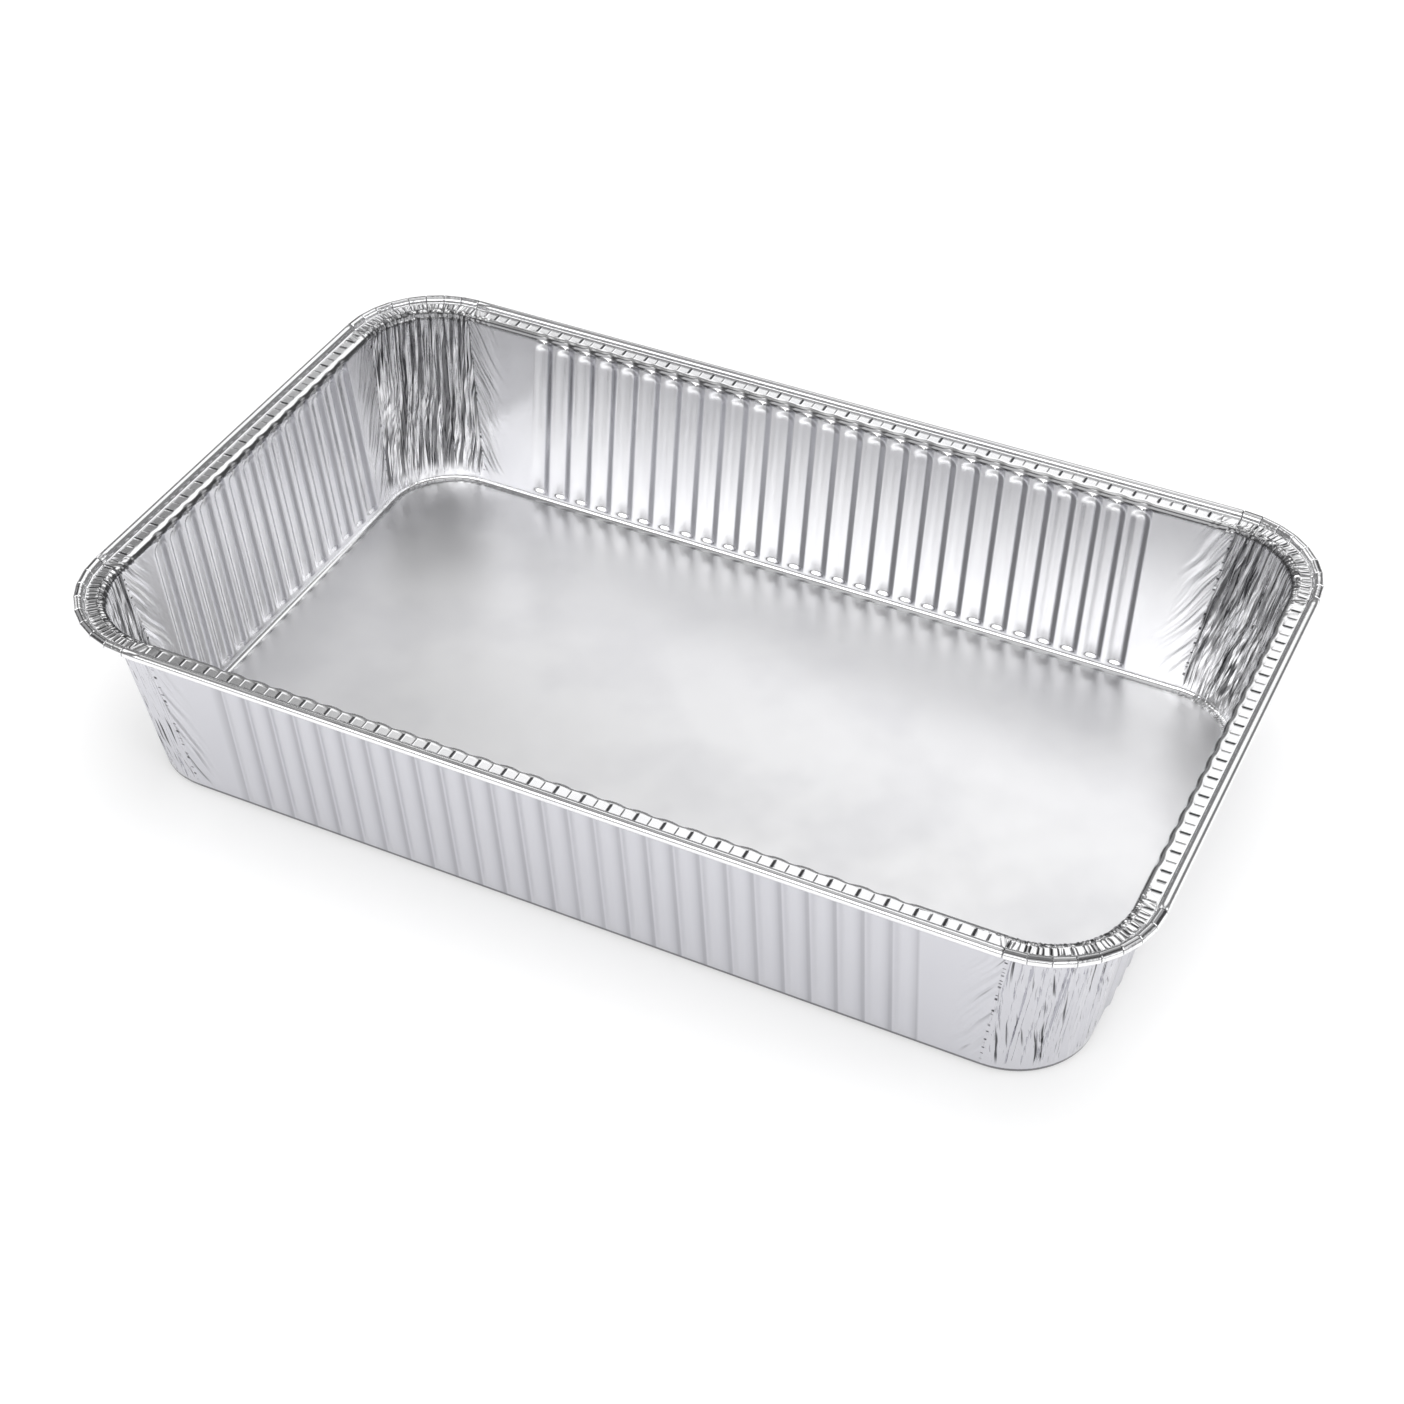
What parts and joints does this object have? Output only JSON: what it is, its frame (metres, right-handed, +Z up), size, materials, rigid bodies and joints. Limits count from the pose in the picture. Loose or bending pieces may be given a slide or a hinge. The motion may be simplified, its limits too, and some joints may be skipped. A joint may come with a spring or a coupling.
{
  "type": "foil roasting pan",
  "caption": "deep rectangular roasting pan pressed from one sheet of aluminium foil, with ribbed leaning walls, gathered round corners, a pleated flange and a rolled edge",
  "frame": {"origin": "middle of the underside of the base, where the pan stands", "axes": "+X along the long side, +Y along the short side, +Z up out of the open mouth"},
  "size_m": [0.527, 0.329, 0.1005],
  "materials": {
    "foil": "bright rolled aluminium foil, satin on the walls, creased at the corners and rim"
  },
  "bodies": {
    "root": {"foil_pan": "foil"}
  },
  "joints": []
}
